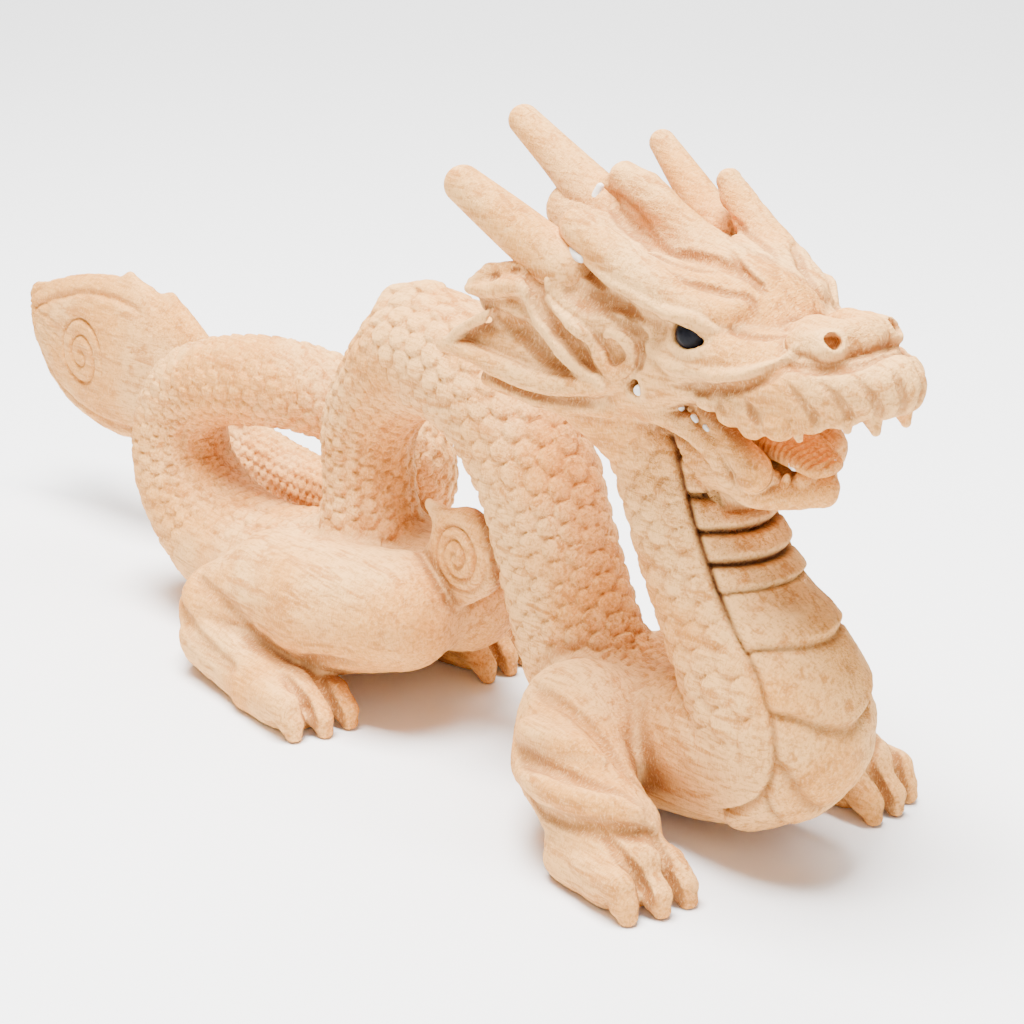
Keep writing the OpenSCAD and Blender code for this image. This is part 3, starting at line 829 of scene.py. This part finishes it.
def build_mesh(name, points, normals, faces, attributes, material):
    """A Blender piece in metres with smooth normals and named point attributes."""
    mesh = bpy.data.meshes.new(name)
    mesh.from_pydata((points * MM).tolist(), [], faces)
    mesh.polygons.foreach_set("use_smooth", np.ones(len(faces), bool))
    for key, values in attributes.items():
        layer = mesh.attributes.new(key, "FLOAT", "POINT")
        layer.data.foreach_set("value", values.astype(np.float32))
    mesh.update()
    mesh.normals_split_custom_set_from_vertices(normals.tolist())
    mesh.materials.append(material)
    return placed(name, mesh)


def finish_piece(piece, node):
    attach(piece, "root")
    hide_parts(node)


def grown(mask, quads, count):
    """A face mask widened by two rings of neighbours."""
    for _ in range(2):
        touched = np.zeros(count, bool)
        touched[quads[mask].ravel()] = True
        mask = touched[quads].any(1)
    return mask


def on_head(points):
    """True for places on the head's side of its joint with the neck."""
    x, z = points[:, 0], points[:, 2]
    floor = 106 - 18 * np.clip((x - 138) / 10, 0, 1)
    return (x > 74) & (z > floor)


def belongs(owner, names):
    """True where an owner number stands for one of the named pieces."""
    return np.isin(owner, [NODES.index(n) for n in names])


def settle_owners(points, quads, owner):
    """Gives stray faces on each side of the neck joint to that side's nearest piece."""
    above = on_head(points[quads].mean(1))
    is_head = belongs(owner, HEAD)
    owner = np.where(above & ~is_head, NODES.index("skull"), owner)
    return np.where(~above & is_head, NODES.index("neck"), owner)


def ornament(points, normals, part_of, move, shade):
    """Cuts the spirals of the belly curl and the tail flame, and the line inside the flame's rim, with
    painted shade in each cut.
    """
    away = np.abs(normals[:, 1])
    flat_part = belongs(part_of, ["belly_curl", "tail_flame"])
    cuts = []
    for centre, pitch, reach, turn in SPIRALS:
        line = spiral_groove(points, centre, pitch, reach, turn, away)
        cuts.append((line * flat_part, 1.3, 0.9))
    leaf = chain_field([(x, 0, z, r) for x, _, z, r in spline(FLAME, 3)])[0]
    inset = leaf(points[:, 0].astype(np.float32), np.float32(0), points[:, 2].astype(np.float32))
    rim = bell(inset + 5.5, 1.1) * ramp(0.3, 0.7, away) * ramp(-128, -140, points[:, 0])
    cuts.append((rim * belongs(part_of, ["tail_flame"]), 1.2, 0.7))
    for line, depth, groove_shade in cuts:
        move = move - depth * line
        shade = np.maximum(shade, groove_shade * line)
    return move, shade


def carved_piece(name, mine, points, normals, quads, attributes):
    """Closes one node's share of the faces at its borders and makes it a piece."""
    used, local = np.unique(quads[mine], return_inverse=True)
    faces = local.reshape(-1, 4)
    caps, added = close_loops(open_loops(faces), points[used], normals[used], len(used))
    all_points = np.vstack([points[used], added])
    all_normals = np.vstack([normals[used], np.tile((0.0, 0.0, 1.0), (len(added), 1))])
    values = {k: np.concatenate([v[used], np.zeros(len(added))]) for k, v in attributes.items()}
    slot = "recessed_wood" if name in RECESSED else "carved_wood"
    piece = build_mesh(name + "_carved", all_points, all_normals, faces.tolist() + caps, values,
                       MATERIALS[slot])
    finish_piece(piece, name)


def carved_pieces(clay, wanted, others):
    """Cuts the clay's surface into one closed piece per CAD node, with carved relief."""
    points, quads, owner = clay.surface()
    owner = settle_owners(points, quads, owner)
    normals = vertex_normals(points, quads)
    move, shade, plate_cut_shade, plate = body_relief(points)
    part_of = np.zeros(len(points), int)
    part_of[quads.ravel()] = np.repeat(owner, 4)
    for values in (move, shade, plate_cut_shade):
        values[belongs(part_of, HEAD)] = 0
    move, shade = ornament(points, normals, part_of, move, shade)
    hollow, sharp = hollowness(clay, points, normals), sharpness(clay, points, normals)
    move = move + 0.2 * knife_marks(points, 0.55) + 0.07 * knife_marks(points, 2.1)
    points = points + normals * move[:, None]
    points[:, 2] = np.maximum(points[:, 2], 0)
    normals = vertex_normals(points, quads)
    is_plate = plate[quads].all(1) & belongs(owner, ["neck", "chest"])
    owner = np.where(is_plate, NODES.index("neck_scutes"), owner)
    foreign = belongs(owner, others)
    attributes = {"shade": shade, "plate_cut_shade": plate_cut_shade, "hollow": hollow, "sharp": sharp}
    for name in wanted:
        mine = owner == NODES.index(name)
        mine |= grown(mine, quads, len(points)) & foreign
        carved_piece(name, mine, points, normals, quads, attributes)


def small_piece(name, node, chains, slot, step=0.35, blend=1, stretch=NO_STRETCH, relief=None):
    """A separate glued-in piece, from its own chains of balls."""
    spans = [chain_field(points, stretch)[1:] for points in chains]
    low = np.min([s[0] for s in spans], 0) - SMALL_MARGIN
    high = np.max([s[1] for s in spans], 0) + SMALL_MARGIN
    clay = Clay(low, high, step)
    for points in chains:
        clay.add(points, node, blend, stretch)
    points, quads, _ = clay.surface(smoothing=0)
    normals = vertex_normals(points, quads)
    hollow, sharp = hollowness(clay, points, normals), sharpness(clay, points, normals)
    if relief is not None:
        points = points + normals * relief(points)[:, None]
        normals = vertex_normals(points, quads)
    zero = np.zeros(len(points))
    values = {"shade": zero, "plate_cut_shade": zero, "hollow": hollow, "sharp": sharp}
    piece = build_mesh(name, points, normals, quads.tolist(), values, MATERIALS[slot])
    finish_piece(piece, node)


# ---- Materials
class Graph:
    """Short calls for building a material's nodes."""

    def __init__(self, name):
        self.material = bpy.data.materials.new(name)
        self.material.use_nodes = True
        self.nodes = self.material.node_tree.nodes
        self.links = self.material.node_tree.links
        self.shader = self.nodes["Principled BSDF"]

    def node(self, kind, inputs=None, **settings):
        made = self.nodes.new("ShaderNode" + kind)
        for key, value in settings.items():
            setattr(made, key, value)
        for key, value in (inputs or {}).items():
            self.put(made.inputs[key], value)
        return made

    def put(self, socket, value):
        if isinstance(value, bpy.types.NodeSocket):
            self.links.new(value, socket)
        else:
            socket.default_value = value

    def shade(self, **inputs):
        """Sets the shader's inputs, named with underscores for spaces."""
        for key, value in inputs.items():
            self.put(self.shader.inputs[key.replace("_", " ")], value)

    def bump(self, height, strength, distance):
        inputs = {"Height": height, "Strength": strength, "Distance": distance}
        self.shade(Normal=self.node("Bump", inputs).outputs[0])

    def maths(self, operation, a, b):
        return self.node("Math", {0: a, 1: b}, operation=operation).outputs[0]

    def mapped(self, vector, turn, scale):
        return self.node("Mapping", {"Vector": vector, "Rotation": turn, "Scale": scale}).outputs[0]

    def noise(self, vector, scale, detail=3.0, roughness=0.5, bend=0.0):
        values = {"Vector": vector, "Scale": scale, "Detail": detail, "Roughness": roughness,
                  "Distortion": bend}
        return self.node("TexNoise", values).outputs["Fac"]

    def spread(self, value, low, high, to_low=0.0, to_high=1.0):
        values = {"Value": value, "From Min": low, "From Max": high, "To Min": to_low, "To Max": to_high}
        return self.node("MapRange", values, interpolation_type="SMOOTHSTEP").outputs[0]

    def mix(self, factor, a, b):
        """A blend of two colours; sockets 6, 7 and 2 are the node's colour ones."""
        return self.node("Mix", {0: factor, 6: a, 7: b}, data_type="RGBA").outputs[2]

    def attribute(self, name):
        return self.node("Attribute", attribute_name=name).outputs["Fac"]


PALE = (0.80, 0.35, 0.076, 1)
# Pale wood tone; the same colour is also the painted highlight on thin edges.
CREAM_AND_HIGHLIGHT = (0.92, 0.52, 0.19, 1)
# Orange grain streaks; the same colour is also the painted shade between scales and in grooves.
STREAK_AND_SHADE = (0.52, 0.19, 0.034, 1)
# Painted shade deep in creases and hollows.
RECESS_SHADE = (0.32, 0.12, 0.032, 1)
# Near-black painted shadow for the belly plates' cuts and side grooves.
PLATE_CUT_SHADE_COLOUR = (0.10, 0.028, 0.007, 1)


def wood_material():
    g = Graph("carved_pale_wood")
    place = g.node("TexCoord").outputs["Object"]
    grain = g.mapped(place, (0.1, 0.25, 0.15), (60, 420, 420))
    patches = g.noise(place, 34, 2, 0.5)
    bands = g.noise(grain, 0.8, 4, 0.6, bend=0.5)
    lines = g.noise(grain, 3.0, 3, 0.6, bend=0.3)
    fibre = g.mapped(place, (0.3, 0.5, 0.2), (2600, 800, 900))
    strokes = g.noise(fibre, 1, 2, 0.6, bend=0.4)
    fuzz = g.noise(place, 2600, 2, 0.6)
    colour = g.mix(g.spread(patches, 0.35, 0.65, 0.1, 1.0), CREAM_AND_HIGHLIGHT, PALE)
    streaks = g.maths("MULTIPLY", g.spread(bands, 0.5, 0.66), 0.8)
    colour = g.mix(streaks, colour, STREAK_AND_SHADE)
    colour = g.mix(g.spread(lines, 0.45, 0.7, 0.0, 0.6), colour, STREAK_AND_SHADE)
    colour = g.mix(g.spread(lines, 0.45, 0.3, 0.0, 0.5), colour, CREAM_AND_HIGHLIGHT)
    # Painted shade: darker and warmer deep in creases and hollows.
    hollow = g.attribute("hollow")
    colour = g.mix(g.spread(hollow, 0.08, 0.7, 0.0, 0.85), colour, RECESS_SHADE)
    # Painted shade between the scales and in the spiral and flame grooves.
    colour = g.mix(g.maths("MULTIPLY", g.attribute("shade"), 0.75), colour, STREAK_AND_SHADE)
    # Painted highlight on thin edges and ridges.
    colour = g.mix(g.spread(g.attribute("sharp"), 0.1, 0.6, 0.0, 0.7), colour, CREAM_AND_HIGHLIGHT)
    colour = g.mix(g.spread(strokes, 0.5, 0.7, 0.0, 0.5), colour, CREAM_AND_HIGHLIGHT)
    colour = g.mix(g.spread(strokes, 0.48, 0.3, 0.0, 0.42), colour, STREAK_AND_SHADE)
    # Painted shadow in the belly plates' cuts and side grooves.
    colour = g.mix(g.attribute("plate_cut_shade"), colour, PLATE_CUT_SHADE_COLOUR)
    g.shade(Base_Color=colour, Roughness=g.spread(fuzz, 0.2, 0.8, 0.58, 0.78), Specular_IOR_Level=0.12)
    height = g.maths("ADD", g.maths("MULTIPLY", strokes, 0.6), g.maths("MULTIPLY", fuzz, 0.35))
    height = g.maths("ADD", height, g.maths("MULTIPLY", lines, 0.3))
    g.bump(height, 0.85, 0.0008)
    return g.material


def bead_material():
    g = Graph("black_glass_bead")
    place = g.node("TexCoord").outputs["Object"]
    cloud = g.noise(place, 900, 2)
    g.shade(Base_Color=g.mix(cloud, (0.004, 0.004, 0.005, 1), (0.014, 0.014, 0.018, 1)),
            Roughness=g.spread(cloud, 0.3, 0.8, 0.04, 0.12), Specular_IOR_Level=0.05)
    return g.material


def glue_material():
    g = Graph("white_glue")
    place = g.node("TexCoord").outputs["Object"]
    cloud = g.noise(place, 500, 3)
    g.shade(Base_Color=g.mix(cloud, (0.80, 0.74, 0.66, 1), (0.92, 0.88, 0.82, 1)),
            Roughness=g.spread(cloud, 0.3, 0.7, 0.2, 0.35), Subsurface_Weight=0.3,
            Subsurface_Radius=(0.001, 0.001, 0.001))
    g.bump(cloud, 0.2, 0.0003)
    return g.material


WOOD = wood_material()
MATERIALS = {"carved_wood": WOOD, "recessed_wood": WOOD, "black_bead": bead_material(),
             "white_glue": glue_material()}

# ---- Stage
CAMERA_PLACE = (521.475, -392.150, 275.833)
CAMERA_TARGET = (62.3, 0, 63.6)
FLOOR_HALF = 6


def look_at(thing, target):
    thing.rotation_mode = "QUATERNION"
    thing.rotation_quaternion = (Vector(target) - thing.location).to_track_quat("-Z", "Y")


def add_camera():
    """The photograph's view: from the right front, a little above."""
    camera = bpy.data.cameras.new("camera")
    camera.lens, camera.sensor_width = 85, 36
    camera.clip_start, camera.clip_end = 0.01, 20
    thing = placed("camera", camera)
    thing.location = Vector(CAMERA_PLACE) * MM
    look_at(thing, Vector(CAMERA_TARGET) * MM)
    bpy.context.scene.camera = thing


def add_light(name, place, target, size, power):
    light = bpy.data.lights.new(name, "AREA")
    light.size, light.energy = size, power
    thing = placed(name, light)
    thing.location = place
    look_at(thing, target)


def add_stage():
    mesh = bpy.data.meshes.new("floor")
    corners = [(x * FLOOR_HALF, y * FLOOR_HALF, 0) for x, y in ((-1, -1), (1, -1), (1, 1), (-1, 1))]
    mesh.from_pydata(corners, [], [(0, 1, 2, 3)])
    floor = placed("floor", mesh)
    material = bpy.data.materials.new("floor")
    material.use_nodes = True
    shader = material.node_tree.nodes["Principled BSDF"]
    shader.inputs["Base Color"].default_value = (0.9, 0.9, 0.9, 1)
    shader.inputs["Roughness"].default_value = 0.9
    mesh.materials.append(material)
    world = bpy.data.worlds.new("studio")
    world.use_nodes = True
    inputs = world.node_tree.nodes["Background"].inputs
    inputs["Color"].default_value = (1, 1, 1, 1)
    inputs["Strength"].default_value = 0.36
    bpy.context.scene.world = world
    middle = (CAD_LOW + CAD_HIGH) / 2
    add_light("key", middle + Vector((0.05, -0.15, 1.25)), middle, size=0.7, power=100)
    behind = Vector((-1.7, 1.5, 0))
    add_light("backdrop", behind + Vector((0, 0, 1.8)), behind, size=1.8, power=110)
    add_light("fill", middle + Vector((1.2, -0.5, 0.6)), middle, size=0.8, power=5)


def make_horns():
    """Three round horns glued into the skull: the left one is the thinnest."""
    right = [(112, -26.5, 143, 6.8), (98, -30.5, 151.5, 5.9), (84.2, -33.8, 159.3, 4.7)]
    left = [(110, 27, 144, 5.6), (96, 30, 152.5, 4.6), (83, 32.5, 161, 3.4)]
    centre = [(100, 0, 149, 7.6), (84, 0, 158.8, 5.4), (67, 0, 168.3, 4)]
    for name, points in (("right_horn", right), ("left_horn", left), ("centre_horn", centre)):
        small_piece(name + "_carved", name, [spline(points, 5)], "carved_wood", step=0.45)


def make_eyes():
    """Beads of the CAD eyes' size, a little flattened sideways."""
    for word in SIDES:
        node = f"{word}_eye"
        low, high = (np.array(corner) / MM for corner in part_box(node))
        middle, radius = (low + high) / 2, (high[0] - low[0]) / 2
        small_piece(f"{node}_bead", node, [[(*middle, radius)]], "black_bead", step=0.3,
                    stretch=(1, 0.92, 1))


def make_glue():
    """Teardrops at the horns' roots, a plug in each whisker socket and drops in the mouth."""
    teardrops = [[(112, -26.6, 149, 1.1), (115.5, -27.2, 147.4, 1.5), (119, -27.6, 146.6, 1)],
                 [(99, -3.5, 157, 1), (98.5, -4.5, 154.5, 1.3), (101, -4.5, 153, 1)]]
    plug = [(135.5, 22, 118.6, 1.7), (135.8, 24.5, 118.4, 1.3)]
    drops = [(143, -18.5, 115.3, 0.9), (147.5, -18.3, 113.5, 0.8), (150.5, -17.5, 111.8, 0.7),
             (172, 2, 104, 1.4), (167, -6, 104.5, 1.2), (176, 8.5, 134, 1.2)]
    runs = [[(x, y, z, r), (x + 0.8, y, z - 0.6, r * 0.8)] for x, y, z, r in drops]
    small_piece("horn_glue_beads", "horn_glue", teardrops, "white_glue", blend=1.5)
    small_piece("whisker_plug_glue", "whisker_plugs", [mirrored(plug, side) for side in SIDES.values()],
                "white_glue")
    small_piece("mouth_glue_drops", "mouth_glue", runs, "white_glue")


def make_tongue():
    points = [(140, 0, 108, 3.5), (152, 0, 108.5, 4.2), (163, 0, 106, 4.3), (171, 0, 103.5, 3.2)]

    def striae(p):
        return 0.28 * np.sin(p[:, 0] * 4.2 + 1.5 * np.sin(p[:, 1] * 0.8)) * ramp(0, 1, p[:, 2] - 104)

    small_piece("tongue_carved", "tongue", [spline(points, 4)], "recessed_wood",
                stretch=(1, 1.9, 0.75), relief=striae)


def make_teeth():
    fangs = [[(176.5, 16, 119, 2.4), (178, 16, 115.2, 0.9)],
             [(189, 5, 121, 2.8), (190.3, 5, 117.6, 1.2)], [(186, 10, 120, 2), (186.5, 10, 118, 1)]]
    teeth = [[(x, y, z - 2.5, 1.9), (x + 0.5, y, z, 0.8)]
             for x, y, z in ((160, 12, 102), (166, 7, 101.5), (170.5, 2.5, 102))]
    for node, one_side in (("upper_fangs", fangs), ("lower_teeth", teeth)):
        chains = [mirrored(points, side) for side in SIDES.values() for points in one_side]
        small_piece(node + "_carved", node, chains, "carved_wood")


def make_dragon():
    low, high = np.array(CAD_LOW) / MM - GRID_MARGIN, np.array(CAD_HIGH) / MM + GRID_MARGIN
    body = sculpt(Clay(low, high, BODY_GRID))
    head = sculpt(Clay((HEAD_START_X, low[1], HEAD_START_Z), high, HEAD_GRID))
    carved_pieces(head, HEAD, BODY_PARTS)
    carved_pieces(body, BODY_PARTS, HEAD)
    make_horns()
    make_eyes()
    make_glue()
    make_tongue()
    make_teeth()


make_dragon()
add_camera()
add_stage()
